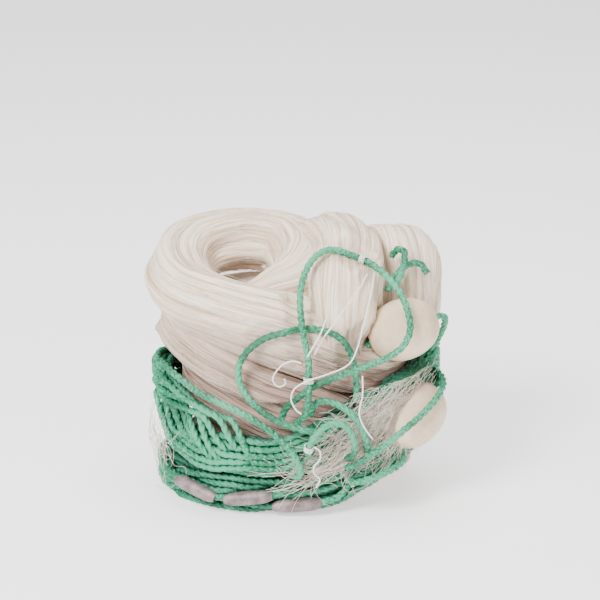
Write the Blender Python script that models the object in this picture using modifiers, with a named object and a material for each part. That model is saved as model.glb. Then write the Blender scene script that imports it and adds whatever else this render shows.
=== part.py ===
"""A gill net, gathered and bundled: a hank of fine netting that stands inside two wound hanks of green rope.

Metres, +Z up, -Y is the front. The origin is on the floor, under the middle of the bundle.
The netting is one skein, wound in three turns with two bights laid over them. The lead line is wound round its
foot and the float line above that. Loose bights of rope, floats, sinkers and twine ties lie on the outside.
"""

import math

import bmesh
import bpy
import numpy as np
from mathutils import Vector

MM = 0.001

# Driving sizes, in millimetres.
ROPE_RADIUS = 3.0
TWINE_RADIUS = 0.8
GAP = 0.6
ROPE_STEP = 13.0
TWINE_STEP = 5.0
FLOAT_LENGTH = 63.0
FLOAT_DIAMETER = 54.0
SINKER_LENGTH = 44.0
SINKER_DIAMETER = 12.5
TIE_RING_RADIUS = 5.4
TIE_CORD_RADIUS = 1.2

# The netting is joined and thinned to about this grain.
NETTING_VOXEL = 7.0
NETTING_KEPT_SHARE = 0.5
NETTING_PRESSES = 3
SKEIN_SIDES = 20
SKEIN_STEP = 9.0
SKEIN_LOBES = 5
SKEIN_LOBE_DEPTH = 0.07
SKEIN_TWIST = 2.6
SKEIN_TIP_SHARE = 0.7

# What the netting clears: how far beyond each piece's own radius, and how far out its groove eases away.
ROPE_CLEARANCE = (2.4, 6.0)
TWINE_CLEARANCE = (1.2, 4.0)
TIE_CLEARANCE = (1.4, 3.0)
FLOAT_CLEARANCE = (3.0, 0.0)
SINKER_CLEARANCE = (1.5, 3.0)
GROOVE_SLOPE = 0.8

# A float is nearly egg-shaped and a sinker is a barrel: how blunt the ends are, and the sides round each.
FLOAT_SHAPE = (1.15, 16)
SINKER_SHAPE = (2.2, 10)

# Sections of the skein in winding order: x, y and z of its middle, and its radius.
SKEIN_RUNS = {
    "skein_core": [(0, 8, 34, 40), (0, 8, 80, 50), (-6, 8, 120, 48), (-10, 10, 140, 40)],
    "skein_winding": [
        # foot turn, inside the ropes
        (30, -8, 28, 28), (-30, -32, 29, 33), (-68, -10, 30, 33), (-60, 34, 31, 33), (-10, 50, 32, 33),
        (48, 44, 33, 33), (76, 10, 36, 32), (62, -32, 52, 32), (22, -46, 72, 32),
        # middle turn: front, left, back, right, and in under the float
        (-28, -47, 88, 34), (-72, -32, 110, 34), (-98, 8, 128, 33), (-84, 46, 138, 33), (-40, 64, 142, 34),
        (15, 68, 144, 34), (66, 56, 146, 34), (95, 22, 142, 31), (90, -8, 128, 27), (56, -36, 128, 30),
        # top turn, leaning towards the front, round the hollow
        (4, -44, 152, 34), (-48, -38, 167, 31), (-94, -14, 178, 29), (-107, 18, 194, 28), (-90, 50, 205, 28),
        (-50, 66, 209, 28), (-10, 54, 207, 28), (6, 20, 198, 27), (-2, -10, 190, 24), (-24, -12, 178, 20),
        (-48, 2, 164, 16),
    ],
    "skein_front_bight": [
        (-14, 62, 176, 28), (22, 48, 204, 32), (41, 10, 208, 34), (42, -28, 191, 34), (41, -50, 163, 30),
        (43, -50, 138, 23),
    ],
    "skein_side_bight": [
        (34, 68, 160, 30), (70, 54, 190, 32), (94, 30, 198, 33), (101, 12, 176, 28), (98, 4, 146, 27),
        (88, -2, 112, 26),
    ],
}

# The rope lies in a nest round the netting: the lead line below the division, the float line above it.
# Angles run from +X through +Y, in degrees, so the front is at 270. The nest lifts off the floor on the right.
NEST_COLUMNS = ("angle", "outer_x", "outer_y", "bottom", "division", "top")
NEST = [
    (0, 130, 96, 76, 105, 136), (30, 128, 96, 54, 85, 120), (60, 128, 96, 20, 56, 96), (90, 128, 96, 0, 36, 84),
    (120, 128, 96, 0, 34, 90), (150, 130, 96, 0, 34, 116), (180, 132, 96, 0, 36, 128), (200, 132, 96, 0, 36, 122),
    (225, 131, 97, 0, 35, 109), (250, 130, 97, 0, 34, 93), (270, 130, 97, 0, 36, 94), (285, 130, 97, 6, 42, 106),
    (300, 130, 97, 17, 53, 114), (315, 130, 97, 34, 67, 116), (335, 130, 97, 56, 86, 122),
]
NEST_THICKNESS = 22.0
NEST_ROUNDNESS = 0.6
NEST_FLAT_TOP = 1.1
LEAD_INSET = 4.0
NEST_STATIONS = 40
NEST_SECTION_POINTS = 12
NEST_SMOOTHING = 19
NEST_MARGIN = 4.0
NEST_OVERHANG = 3.0
NEST_CLEARANCE = 2.0
PRESS_REACH = 30.0

# Routes of rope and twine: points chosen along each run, read through a smooth curve.
ROPE_ROUTES = {
    "loop_tall": [
        (0, -86, 86), (4, -97, 93), (8, -103, 102), (10, -101, 114), (10, -97, 128), (10, -91, 145), (7, -84, 160),
        (4, -77, 176), (3, -64, 197), (8, -50, 214), (17, -39, 224), (30, -32, 228), (48, -32, 223),
        (64, -36, 217), (78, -47, 209), (90, -62, 198), (97, -77, 183), (98, -85, 170), (92, -87, 157),
        (80, -86, 147), (66, -85, 140), (48, -87, 134), (30, -90, 128), (14, -91, 121), (0, -88, 109),
        (-10, -84, 98), (-14, -82, 86),
    ],
    "loop_wide": [
        (52, -82, 104), (52, -75, 120), (50, -74, 135), (46, -80, 150), (39, -84, 162), (27, -83, 169),
        (14, -75, 169), (3, -69, 167), (-11, -77, 166), (-27, -76, 161), (-41, -73, 150), (-50, -74, 137),
        (-51, -77, 123), (-45, -80, 110), (-33, -88, 99), (-15, -99, 91), (2, -102, 86), (14, -98, 82),
        (23, -88, 80),
    ],
    "crossing_strand": [
        (-118, -18, 116), (-121, -32, 124), (-110, -53, 121), (-88, -72, 110), (-64, -85, 102), (-42, -94, 94),
        (-22, -101, 82), (-8, -106, 70), (0, -107, 58), (3, -105, 47), (0, -99, 40), (-8, -88, 40),
    ],
    "short_bight": [
        (12, -84, 92), (15, -90, 104), (24, -99, 111), (40, -102, 106), (53, -100, 92), (60, -97, 75),
        (62, -93, 64), (62, -82, 60),
    ],
    "small_arc": [
        (10, -90, 58), (10, -101, 62), (11, -106, 72), (16, -108, 82), (26, -107, 91), (37, -106, 93),
        (46, -105, 85), (50, -104, 73), (49, -101, 61), (43, -92, 56), (38, -84, 56),
    ],
    "float_line_upper": [
        (61, -54.5, 146), (70, -52.8, 150.5), (80, -51.5, 155), (94, -50, 160), (108, -48.5, 165),
        (121, -46, 170), (130, -39, 168), (131, -30, 158), (127, -24, 145), (120, -20, 132),
    ],
    "float_line_side": [
        (58, -66, 62), (68, -68, 56), (82, -60, 60), (93, -55, 70), (104, -50, 80), (115, -46, 91),
        (123, -40, 101), (127, -30, 107), (122, -22, 108),
    ],
    "strand_over_float": [
        (40, -86, 46), (48, -100, 50), (62, -99, 58), (80, -92, 69), (96, -87, 81), (110, -82, 92), (123, -69, 102),
        (130, -52, 109), (128, -37, 113), (120, -24, 114),
    ],
    "strand_under_float": [
        (44, -84, 31), (52, -97, 34), (66, -97, 38), (82, -90, 42), (92, -80, 45), (95, -70, 46), (91, -61, 46),
    ],
    "lead_line_front": [
        (-112, -30, 22), (-116, -48, 27), (-106, -66, 26), (-90, -80, 21), (-70, -90, 17), (-50, -93, 17),
        (-28, -95, 20), (-10, -94, 23), (0, -84, 22),
    ],
    "lead_line_low": [
        (-56, -76, 9), (-42, -86, 9), (-24, -92, 9.5), (-2, -93, 10.5), (20, -93, 13), (36, -90, 17), (46, -80, 24),
    ],
    "rope_end_long": [
        (80, -28, 188), (85, -24, 197), (92, -19, 205), (102, -15, 210), (110, -14, 209), (116, -16, 201),
    ],
    "rope_end_short": [
        (84, -12, 216), (89, -15, 223), (95, -18, 222), (95, -23, 213), (92, -28, 204), (87, -33, 195),
    ],
    "float_line_back": [
        (40, 68, 70), (46, 80, 76), (34, 84, 84), (10, 86, 92), (-18, 83, 100), (-32, 77, 98), (-34, 66, 90),
    ],
    "lead_line_back": [
        (58, 66, 22), (48, 84, 16), (26, 93, 13), (0, 96, 12), (-28, 93, 13), (-52, 88, 14), (-72, 78, 16),
        (-80, 62, 18),
    ],
}
TWINE_ROUTES = {
    "twine_long": [
        (68, -42, 210), (65, -60, 197), (58, -84, 177), (52, -92, 156), (44, -94, 142), (26, -98, 135),
        (9, -104, 131), (-2, -104, 124), (-5, -104, 114), (-1, -107, 106), (4, -110, 103),
    ],
    "twine_tight": [
        (62, -43, 209), (55, -64, 203), (46, -76, 194), (34, -87, 180), (23, -91, 166), (15, -96, 152),
    ],
    "twine_spur": [(9, -98, 151), (17, -96, 165), (22, -92, 174), (25, -90, 183)],
    "twine_curl": [
        (4, -94, 144), (-4, -92, 145), (-12, -89, 141), (-19, -86, 132), (-21, -84, 124), (-16, -85, 119),
        (-10, -86, 122), (-11, -87, 127),
    ],
    "twine_side": [(57, -90, 131), (57, -98, 116), (54, -107, 103), (58, -106, 90), (66, -103, 77)],
    "twine_foot": [
        (15, -112, 73), (20, -112, 69), (20, -111, 61), (15, -110.5, 54), (15, -109, 47), (20, -108, 41),
        (17, -107, 33),
    ],
}
# Each float and sinker is threaded on a rope, centred at this share of the rope's length.
FLOATS = {
    "float_upper": ("float_line_upper", 0.30),
    "float_side": ("float_line_side", 0.53),
    "float_back": ("float_line_back", 0.5),
}
SINKERS = {
    "sinker_left": ("lead_line_front", 0.385),
    "sinker_middle": ("lead_line_front", 0.70),
    "sinker_low": ("lead_line_low", 0.53),
    "sinker_back_right": ("lead_line_back", 0.34),
    "sinker_back_left": ("lead_line_back", 0.66),
}
# A tie goes round its rope at this share of the rope's length.
TIES = {
    "tie_middle": ("loop_tall", 0.118),
    "tie_top": ("loop_tall", 0.477),
    "tie_foot": ("small_arc", 0.17),
}
COLOURS = {
    "netting": ((0.86, 0.80, 0.74), 0.45, 0.0),
    "rope": ((0.10, 0.50, 0.35), 0.5, 0.0),
    "twine": ((0.90, 0.85, 0.80), 0.6, 0.0),
    "float": ((0.87, 0.78, 0.66), 0.55, 0.0),
    "sinker": ((0.42, 0.36, 0.36), 0.5, 0.6),
}


def clear_scene():
    for obj in list(bpy.data.objects):
        bpy.data.objects.remove(obj, do_unlink=True)


def new_collection(name, hidden):
    made = bpy.data.collections.new(name)
    bpy.context.scene.collection.children.link(made)
    made.hide_render = hidden
    return made


def make_material(name):
    colour, roughness, metallic = COLOURS[name]
    made = bpy.data.materials.new(name)
    made.use_nodes = True
    shader = made.node_tree.nodes["Principled BSDF"]
    shader.inputs["Base Color"].default_value = (*colour, 1.0)
    shader.inputs["Roughness"].default_value = roughness
    shader.inputs["Metallic"].default_value = metallic
    return made


def smooth_route(rows, step):
    """Points about step apart on a Catmull-Rom curve through the rows, all columns alike."""
    rows = np.array(rows, float)
    ends = np.vstack([2 * rows[0] - rows[1], rows, 2 * rows[-1] - rows[-2]])
    t = np.linspace(0, 1, 24, endpoint=False)[:, None]
    spans = [
        0.5 * (2 * b + (c - a) * t + (2 * a - 5 * b + 4 * c - d) * t**2 + (3 * b - a - 3 * c + d) * t**3)
        for a, b, c, d in zip(ends, ends[1:], ends[2:], ends[3:])
    ]
    fine = np.vstack([*spans, rows[-1:]])
    along = np.concatenate([[0], np.cumsum(np.linalg.norm(np.diff(fine[:, :3], axis=0), axis=1))])
    count = max(2, round(along[-1] / step) + 1)
    at = np.linspace(0, along[-1], count)
    return np.stack([np.interp(at, along, column) for column in fine.T], axis=1)


def point_on(route, share):
    """The place at that share of the route's length, and the direction it runs there."""
    fine = smooth_route(route, 1.0)
    i = round(share * (len(fine) - 1))
    return Vector(fine[i]), Vector(fine[i + 3] - fine[i - 3]).normalized()


def link(obj, collection, material=None):
    collection.objects.link(obj)
    if material:
        obj.data.materials.clear()
        obj.data.materials.append(material)
    return obj


def tube(name, route, radius, step, resolution, collection, material=None, longer=0.0):
    """A round cord along a smooth route, as a bevelled poly spline with filled caps, made longer at both ends."""
    points = smooth_route(route, step)
    points[0] += (points[0] - points[1]) * longer / np.linalg.norm(points[0] - points[1])
    points[-1] += (points[-1] - points[-2]) * longer / np.linalg.norm(points[-1] - points[-2])
    curve = bpy.data.curves.new(name, "CURVE")
    curve.dimensions = "3D"
    curve.bevel_depth = radius * MM
    curve.bevel_resolution = resolution
    curve.use_fill_caps = True
    spline = curve.splines.new("POLY")
    spline.points.add(len(points) - 1)
    for knot, point in zip(spline.points, points):
        knot.co = (*(point * MM), 1.0)
    return link(bpy.data.objects.new(name, curve), collection, material)


def as_mesh(obj):
    """The evaluated object as a mesh object of the same name, with the curve removed."""
    graph = bpy.context.evaluated_depsgraph_get()
    mesh = bpy.data.meshes.new_from_object(obj.evaluated_get(graph))
    shape = bmesh.new()
    shape.from_mesh(mesh)
    bmesh.ops.remove_doubles(shape, verts=shape.verts, dist=1e-6)
    bmesh.ops.recalc_face_normals(shape, faces=shape.faces)
    shape.to_mesh(mesh)
    shape.free()
    made = bpy.data.objects.new(obj.name, mesh)
    made.matrix_world = obj.matrix_world
    for owner in obj.users_collection:
        owner.objects.link(made)
    name = obj.name
    bpy.data.objects.remove(obj, do_unlink=True)
    made.name = name
    return made


def skein_mesh(name, rows, collection):
    """A thick lobed skein along the rows' smooth route, its lobes turning slowly as it goes."""
    path = smooth_route(rows, SKEIN_STEP)
    middles, radii = path[:, :3], path[:, 3]
    tangents = np.gradient(middles, axis=0)
    tangents /= np.linalg.norm(tangents, axis=1)[:, None]
    side = np.cross(tangents[0], (0.0, 0.0, 1.0))
    shape = bmesh.new()
    rings = []
    for k, (middle, tangent, radius) in enumerate(zip(middles, tangents, radii)):
        side = side - tangent * (side @ tangent)
        side /= np.linalg.norm(side)
        up = np.cross(tangent, side)
        ring = []
        for i in range(SKEIN_SIDES):
            turn = 2 * math.pi * i / SKEIN_SIDES
            twist = SKEIN_TWIST * 2 * math.pi * k / len(path)
            reach = radius * (1 + SKEIN_LOBE_DEPTH * math.cos(SKEIN_LOBES * turn + twist))
            place = middle + reach * (math.cos(turn) * side + math.sin(turn) * up)
            ring.append(shape.verts.new(place * MM))
        rings.append(ring)
    for a, b in zip(rings, rings[1:]):
        for i in range(SKEIN_SIDES):
            j = (i + 1) % SKEIN_SIDES
            shape.faces.new((a[i], a[j], b[j], b[i]))
    for ring, radius, tangent, middle in (
        (rings[0], radii[0], -tangents[0], middles[0]),
        (rings[-1], radii[-1], tangents[-1], middles[-1]),
    ):
        tip = shape.verts.new((middle + tangent * radius * SKEIN_TIP_SHARE) * MM)
        for i in range(SKEIN_SIDES):
            shape.faces.new((ring[i], ring[(i + 1) % SKEIN_SIDES], tip))
    bmesh.ops.recalc_face_normals(shape, faces=shape.faces)
    mesh = bpy.data.meshes.new(name)
    shape.to_mesh(mesh)
    shape.free()
    return link(bpy.data.objects.new(name, mesh), collection)


def nest_table():
    """The nest's columns at every station, eased by a running mean so that no row makes a corner."""
    columns = dict(zip(NEST_COLUMNS, np.array(NEST, float).T))
    degrees = np.arange(360 + 2 * NEST_SMOOTHING) - NEST_SMOOTHING
    kernel = np.hanning(2 * NEST_SMOOTHING + 1)
    kernel /= kernel.sum()
    stations = 360 * np.arange(NEST_STATIONS) // NEST_STATIONS
    eased = {"angle": np.radians(stations)}
    for key in NEST_COLUMNS[1:]:
        fine = np.interp(degrees, columns["angle"], columns[key], period=360)
        eased[key] = np.convolve(fine, kernel, "valid")[stations]
    return eased


def hank_solid(name, lower, upper, inset, collection, material=None):
    """A closed band of wound rope: a rounded oblong section carried round the nest, from lower to upper."""
    table = nest_table()
    shape = bmesh.new()
    rings = []
    for k in range(NEST_STATIONS):
        across = Vector((math.cos(table["angle"][k]), math.sin(table["angle"][k]), 0))
        outer = Vector((table["outer_x"][k] * across.x, table["outer_y"][k] * across.y, 0)) - across * inset
        low = table[lower][k] + (GAP if lower == "division" else 0)
        high = table[upper][k] - (GAP if upper == "division" else 0)
        middle = outer - across * NEST_THICKNESS / 2 + Vector((0, 0, (low + high) / 2))
        ring = []
        for i in range(NEST_SECTION_POINTS):
            turn = 2 * math.pi * (i + 0.5) / NEST_SECTION_POINTS
            wide = math.copysign(abs(math.cos(turn)) ** NEST_ROUNDNESS, math.cos(turn))
            level = min(1, NEST_FLAT_TOP * abs(math.sin(turn)) ** NEST_ROUNDNESS)
            tall = math.copysign(level, math.sin(turn))
            place = middle + across * wide * NEST_THICKNESS / 2 + Vector((0, 0, tall * (high - low) / 2))
            ring.append(shape.verts.new(place * MM))
        rings.append(ring)
    for k, ring in enumerate(rings):
        following = rings[(k + 1) % NEST_STATIONS]
        for i in range(NEST_SECTION_POINTS):
            j = (i + 1) % NEST_SECTION_POINTS
            shape.faces.new((ring[i], following[i], following[j], ring[j]))
    bmesh.ops.recalc_face_normals(shape, faces=shape.faces)
    mesh = bpy.data.meshes.new(name)
    shape.to_mesh(mesh)
    shape.free()
    return link(bpy.data.objects.new(name, mesh), collection, material)


def oval(name, place, direction, length, diameter, blunt, segments, collection, material=None):
    """A turned body about its direction: a sphere stretched to its length, with blunter ends as blunt grows."""
    shape = bmesh.new()
    bmesh.ops.create_uvsphere(shape, u_segments=segments, v_segments=segments // 2, radius=0.5)
    turn = Vector((0, 0, 1)).rotation_difference(direction).to_matrix()
    for vert in shape.verts:
        along = math.copysign(abs(2 * vert.co.z) ** (1 / blunt), vert.co.z) / 2
        around = math.sqrt(max(0.0, 1 - abs(2 * along) ** (2 * blunt)))
        spoke = Vector((vert.co.x, vert.co.y, 0))
        spoke = spoke.normalized() * around / 2 if spoke.length > 1e-6 else spoke
        vert.co = (turn @ (spoke * diameter + Vector((0, 0, along * length))) + place) * MM
    bmesh.ops.recalc_face_normals(shape, faces=shape.faces)
    mesh = bpy.data.meshes.new(name)
    shape.to_mesh(mesh)
    shape.free()
    return link(bpy.data.objects.new(name, mesh), collection, material)


def tie_ring(name, place, direction, cord_radius, collection, material=None):
    """A ring of twine around a rope's direction."""
    bpy.ops.mesh.primitive_torus_add(
        major_radius=TIE_RING_RADIUS * MM, minor_radius=cord_radius * MM, major_segments=18, minor_segments=6
    )
    ring = bpy.context.active_object
    ring.name = name
    ring.location = place * MM
    ring.rotation_mode = "QUATERNION"
    ring.rotation_quaternion = Vector((0, 0, 1)).rotation_difference(direction)
    for owner in list(ring.users_collection):
        owner.objects.unlink(ring)
    return link(ring, collection, material)


def largest_body(mesh):
    """Deletes all but the largest of a mesh's loose pieces, such as crumbs that a cut leaves behind."""
    shape = bmesh.new()
    shape.from_mesh(mesh)
    left = set(shape.verts)
    groups = []
    while left:
        todo = [left.pop()]
        group = set(todo)
        while todo:
            for edge in todo.pop().link_edges:
                for vert in edge.verts:
                    if vert in left:
                        left.remove(vert)
                        group.add(vert)
                        todo.append(vert)
        groups.append(group)
    largest = max(groups, key=len)
    bmesh.ops.delete(shape, geom=[v for v in shape.verts if v not in largest], context="VERTS")
    shape.to_mesh(mesh)
    shape.free()


def evaluated(obj):
    """The object's mesh with its modifiers applied."""
    graph = bpy.context.evaluated_depsgraph_get()
    mesh = bpy.data.meshes.new_from_object(obj.evaluated_get(graph))
    obj.modifiers.clear()
    obj.data = mesh
    return mesh


def cut(obj, cutters):
    """Cuts the cutters away, one after the other, and keeps the largest body of what is left."""
    for cutter in cutters:
        modifier = obj.modifiers.new(cutter.name, "BOOLEAN")
        modifier.operation = "DIFFERENCE"
        modifier.solver = "EXACT"
        modifier.object = cutter
    largest_body(evaluated(obj))
    return obj


def pressed_in(places, normals):
    """The netting's surface pushed inwards until the nest, each rope, float, sinker and tie clears it.

    Inside the nest a point keeps to the nest's inner oval, which widens with height above the nest's top.
    Near a cord, a point keeps below the cord's underside, measured along its own normal.
    """
    table = nest_table()
    angle = np.arctan2(places[:, 1] / table["outer_y"].mean(), places[:, 0] / table["outer_x"].mean())
    at = {key: np.interp(angle, table["angle"], column, period=2 * np.pi) for key, column in table.items()}
    above = np.maximum(places[:, 2] - at["top"], at["bottom"] - places[:, 2])
    room = np.maximum(0, above - NEST_MARGIN) * NEST_OVERHANG - NEST_THICKNESS - LEAD_INSET - NEST_CLEARANCE
    across = np.hypot(places[:, 0], places[:, 1])
    limit = np.hypot(np.cos(angle) * (at["outer_x"] + room), np.sin(angle) * (at["outer_y"] + room))
    places[:, :2] *= np.minimum(1, limit / np.maximum(across, 1))[:, None]
    for route, radius, ease in clearances():
        middles = smooth_route(route, 2.0)
        offset = places[:, None] - middles[None]
        nearest = np.linalg.norm(offset, axis=2).argmin(axis=1)
        offset = offset[np.arange(len(places)), nearest]
        height = (offset * normals).sum(axis=1)
        aside = np.linalg.norm(offset - height[:, None] * normals, axis=1)
        if ease:
            free = np.maximum(0, aside - radius - ease) * GROOVE_SLOPE - radius
        else:
            free = np.where(aside < radius, -np.sqrt(np.maximum(0, radius**2 - aside**2)), np.inf)
        near = np.linalg.norm(offset, axis=1) < radius + PRESS_REACH
        push = np.where(near, np.clip(height - free, 0, PRESS_REACH), 0)
        places = places - push[:, None] * normals
    return places


def relaxed(places, edges):
    """Each point moved halfway to the mean of its neighbours, to ease the creases that pressing makes."""
    totals = np.zeros_like(places)
    counts = np.zeros(len(places))
    for a, b in (edges.T, edges.T[::-1]):
        np.add.at(totals, a, places[b])
        np.add.at(counts, a, 1)
    return (places + totals / counts[:, None]) / 2


def clearances():
    """Every piece the netting must clear: its route, its radius with the gap, and how wide its groove eases."""
    for route in ROPE_ROUTES.values():
        yield route, ROPE_RADIUS + ROPE_CLEARANCE[0], ROPE_CLEARANCE[1]
    for route in TWINE_ROUTES.values():
        yield route, TWINE_RADIUS + TWINE_CLEARANCE[0], TWINE_CLEARANCE[1]
    for rope, share in TIES.values():
        place, _ = point_on(ROPE_ROUTES[rope], share)
        reach = Vector((0, 0, 1))
        radius = TIE_RING_RADIUS + TIE_CORD_RADIUS + TIE_CLEARANCE[0]
        yield [place - reach, place + reach], radius, TIE_CLEARANCE[1]
    for rope, share in FLOATS.values():
        place, direction = point_on(ROPE_ROUTES[rope], share)
        reach = direction * (FLOAT_LENGTH - FLOAT_DIAMETER) / 2
        yield [place - reach, place + reach], FLOAT_DIAMETER / 2 + FLOAT_CLEARANCE[0], FLOAT_CLEARANCE[1]
    for rope, share in SINKERS.values():
        place, direction = point_on(ROPE_ROUTES[rope], share)
        reach = direction * SINKER_LENGTH / 2
        yield [place - reach, place + reach], SINKER_DIAMETER / 2 + SINKER_CLEARANCE[0], SINKER_CLEARANCE[1]


def netting_solid(parts, cutters, material):
    """The skein's runs joined into one body by a voxel remesh, thinned, and pressed in under the ropes."""
    shape = bmesh.new()
    for name, rows in SKEIN_RUNS.items():
        run = skein_mesh(name, rows, cutters)
        shape.from_mesh(run.data)
        bpy.data.objects.remove(run, do_unlink=True)
    mesh = bpy.data.meshes.new("netting")
    shape.to_mesh(mesh)
    shape.free()
    netting = link(bpy.data.objects.new("netting", mesh), parts, material)
    remesh = netting.modifiers.new("join", "REMESH")
    remesh.mode = "VOXEL"
    remesh.voxel_size = NETTING_VOXEL * MM
    largest_body(evaluated(netting))
    thin = netting.modifiers.new("thin", "DECIMATE")
    thin.ratio = NETTING_KEPT_SHARE
    mesh = evaluated(netting)
    places = np.empty(3 * len(mesh.vertices))
    normals = np.empty(3 * len(mesh.vertices))
    mesh.vertices.foreach_get("co", places)
    mesh.vertices.foreach_get("normal", normals)
    places, normals = places.reshape(-1, 3) / MM, normals.reshape(-1, 3)
    edges = np.empty(2 * len(mesh.edges), int)
    mesh.edges.foreach_get("vertices", edges)
    for _ in range(NETTING_PRESSES):
        places = relaxed(pressed_in(places, normals), edges.reshape(-1, 2))
    places = pressed_in(places, normals)
    mesh.vertices.foreach_set("co", (places * MM).ravel())
    mesh.update()
    return netting


def floor_cutter(collection):
    """A block whose top is the floor, to make what stands on it flat."""
    bpy.ops.mesh.primitive_cube_add(size=1.0)
    block = bpy.context.active_object
    block.name = "floor_cutter"
    block.dimensions = (0.5, 0.5, 0.1)
    block.location = (0, 0, -0.05)
    for owner in list(block.users_collection):
        owner.objects.unlink(block)
    return link(block, collection)


def build():
    clear_scene()
    parts = new_collection("gill_net", hidden=False)
    cutters = new_collection("cutters", hidden=True)
    looks = {name: make_material(name) for name in COLOURS}
    rope_cutters = {}
    for name, route in ROPE_ROUTES.items():
        tube(name, route, ROPE_RADIUS, ROPE_STEP, 2, parts, looks["rope"])
        cutter = tube(name + "_cutter", route, ROPE_RADIUS + GAP, ROPE_STEP, 2, cutters, longer=GAP)
        rope_cutters[name] = as_mesh(cutter)
    body_cutters = {}
    for name, route in TWINE_ROUTES.items():
        tube(name, route, TWINE_RADIUS, TWINE_STEP, 1, parts, looks["twine"])
        cutter = tube(name + "_cutter", route, TWINE_RADIUS + GAP, TWINE_STEP, 1, cutters, longer=GAP)
        body_cutters[name] = as_mesh(cutter)
    for name, (rope, share) in TIES.items():
        place, direction = point_on(ROPE_ROUTES[rope], share)
        tie_ring(name, place, direction, TIE_CORD_RADIUS, parts, looks["twine"])
        body_cutters[name] = tie_ring(name + "_cutter", place, direction, TIE_CORD_RADIUS + GAP, cutters)
    for table, length, diameter, (blunt, segments), look in (
        (FLOATS, FLOAT_LENGTH, FLOAT_DIAMETER, FLOAT_SHAPE, "float"),
        (SINKERS, SINKER_LENGTH, SINKER_DIAMETER, SINKER_SHAPE, "sinker"),
    ):
        for name, (rope, share) in table.items():
            place, direction = point_on(ROPE_ROUTES[rope], share)
            body = oval(name, place, direction, length, diameter, blunt, segments, parts, looks[look])
            cut(body, [rope_cutters[rope]])
            body_cutters[name] = oval(
                name + "_cutter", place, direction, length + 2 * GAP, diameter + 2 * GAP, blunt, segments, cutters
            )
    small = [*rope_cutters.values(), *body_cutters.values()]
    lead = hank_solid("lead_line_hank", "bottom", "division", LEAD_INSET, parts, looks["rope"])
    cut(lead, small)
    upper = hank_solid("float_line_hank", "division", "top", 0.0, parts, looks["rope"])
    cut(upper, small)
    netting = netting_solid(parts, cutters, looks["netting"])
    cut(netting, [floor_cutter(cutters)])


build()
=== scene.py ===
"""A gill net, gathered and bundled: its looks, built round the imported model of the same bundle.

Millimetres in the tables, +Z up, -Y is the front. The netting is one skein of fine filament, wound in a hank.
The float line and the lead line lie in a nest round it, and loose bights, floats, sinkers and twine lie
outside.
"""

import math

import bpy
import numpy as np
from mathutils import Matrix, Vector


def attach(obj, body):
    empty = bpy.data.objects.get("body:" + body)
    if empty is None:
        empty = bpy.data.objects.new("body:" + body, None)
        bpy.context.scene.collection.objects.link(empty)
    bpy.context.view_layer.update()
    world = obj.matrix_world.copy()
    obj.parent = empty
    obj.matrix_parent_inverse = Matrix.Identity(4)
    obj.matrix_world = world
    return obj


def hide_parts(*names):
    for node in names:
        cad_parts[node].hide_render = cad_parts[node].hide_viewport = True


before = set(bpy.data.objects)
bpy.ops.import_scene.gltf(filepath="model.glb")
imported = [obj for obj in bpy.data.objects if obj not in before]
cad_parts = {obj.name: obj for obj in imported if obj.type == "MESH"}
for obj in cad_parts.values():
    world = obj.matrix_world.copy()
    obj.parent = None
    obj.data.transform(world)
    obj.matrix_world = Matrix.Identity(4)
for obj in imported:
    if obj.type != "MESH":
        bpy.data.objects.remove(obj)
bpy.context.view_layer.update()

MM = 0.001

# The view: the camera's height angle, its distance and the point it looks at.
CAMERA_ELEVATION = 18.0
CAMERA_DISTANCE = 2200.0
CAMERA_TARGET = (2.7, 0.0, 171.0)
CAMERA_LENS = 146.7

# Rope and twine.
ROPE_RADIUS = 3.0
ROPE_LAY = 21.0
ROPE_STEP = 3.0
STRAND_PROFILE = (1.10, 0.98, 0.64, 0.98) * 3
TWINE_RADIUS = 0.8
TWINE_LAY = 6.0
TWINE_STEP = 1.5
TWINE_PROFILE = (1.0, 0.86, 1.0, 0.86, 1.0, 0.86)
ROPE_YARNS = 18
TIE_TURNS = 4
TIE_WIDTH = 5.2
TIE_FRONT = (0.15, -1.0, 0.2)
FLOAT_LENGTH = 63.0
FLOAT_DIAMETER = 54.0
SINKER_LENGTH = 44.0
SINKER_DIAMETER = 12.5

# Sections of the skein in winding order: x, y and z of its middle, and its radius.
SKEIN_RUNS = {
    "skein_core": [(0, 8, 34, 40), (0, 8, 80, 50), (-6, 8, 120, 48), (-10, 10, 140, 40)],
    "skein_winding": [
        # foot turn, inside the ropes
        (30, -8, 28, 28), (-30, -32, 29, 33), (-68, -10, 30, 33), (-60, 34, 31, 33), (-10, 50, 32, 33),
        (48, 44, 33, 33), (76, 10, 36, 32), (62, -32, 52, 32), (22, -46, 72, 32),
        # middle turn: front, left, back, right, and in under the float
        (-28, -47, 88, 34), (-72, -32, 110, 34), (-98, 8, 128, 33), (-84, 46, 138, 33), (-40, 64, 142, 34),
        (15, 68, 144, 34), (66, 56, 146, 34), (95, 22, 142, 31), (90, -8, 128, 27), (56, -36, 128, 30),
        # top turn, leaning towards the front, round the hollow
        (4, -44, 152, 34), (-48, -38, 167, 31), (-94, -14, 178, 29), (-107, 18, 194, 28), (-90, 50, 205, 28),
        (-50, 66, 209, 28), (-10, 54, 207, 28), (6, 20, 198, 27), (-2, -10, 190, 24), (-24, -12, 178, 20),
        (-48, 2, 164, 16),
    ],
    "skein_front_bight": [
        (-14, 62, 176, 28), (22, 48, 204, 32), (41, 10, 208, 34), (42, -28, 191, 34), (41, -50, 163, 30),
        (43, -50, 138, 23),
    ],
    "skein_side_bight": [
        (34, 68, 160, 30), (70, 54, 190, 32), (94, 30, 198, 33), (101, 12, 176, 28), (98, 4, 146, 27),
        (88, -2, 112, 26),
    ],
}
SKEIN_STEP = 3.0
SKEIN_SIDES = 84
SKEIN_LOBES = 5
SKEIN_LOBE_DEPTH = 0.07
SKEIN_TWIST = 2.6

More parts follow.
